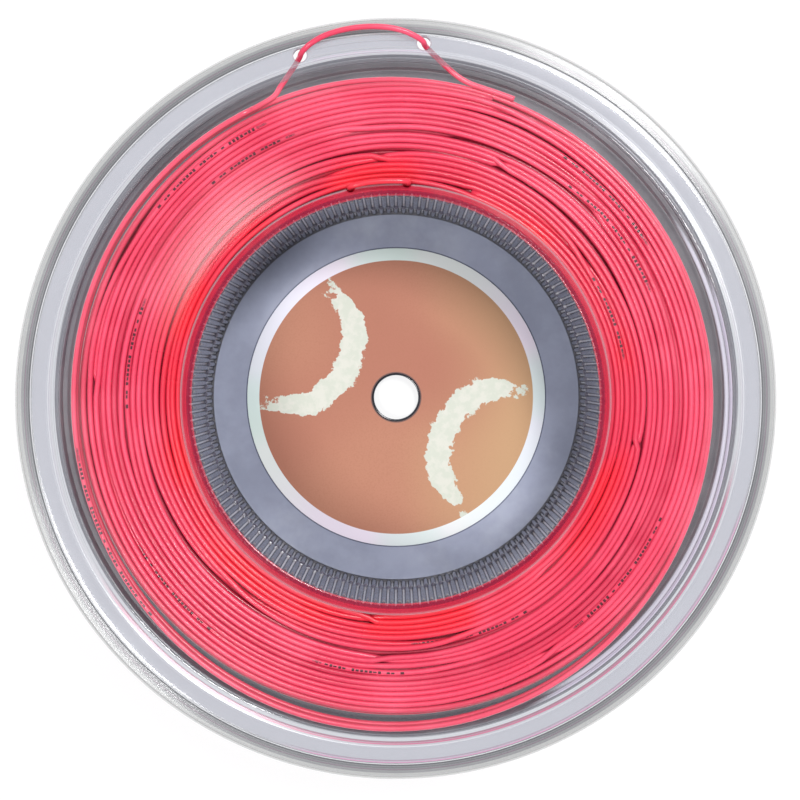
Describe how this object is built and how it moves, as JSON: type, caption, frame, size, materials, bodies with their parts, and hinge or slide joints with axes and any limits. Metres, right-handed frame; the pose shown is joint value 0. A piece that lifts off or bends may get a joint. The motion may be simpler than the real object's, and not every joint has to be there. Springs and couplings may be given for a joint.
{
  "type": "string reel",
  "caption": "Clear flanged reel wound full of thin racket string, with a ribbed open hub, a round hub label and a spindle bore.",
  "frame": {"origin": "on the reel's axis, on the plane that the rear rim rests on", "axes": "+Z along the spindle bore from the rear flange to the front flange; +Y towards the tie holes in the front flange"},
  "size_m": [0.16, 0.16, 0.0436],
  "materials": {
    "flange_clear": "clear moulded plastic, polished",
    "hub_clear": "clear moulded plastic, ribbed, smoky",
    "label_print": "printed film label, pearly border round a matt copper-orange disc",
    "string": "glossy extruded monofilament"
  },
  "bodies": {
    "root": {"rear_flange": "flange_clear", "front_flange": "flange_clear", "rear_hub_sleeve": "hub_clear", "front_hub_sleeve": "hub_clear", "label": "label_print", "winding_core": "string", "winding_outer_layer": "string", "string_tail": "string", "string_start": "string"}
  },
  "joints": []
}
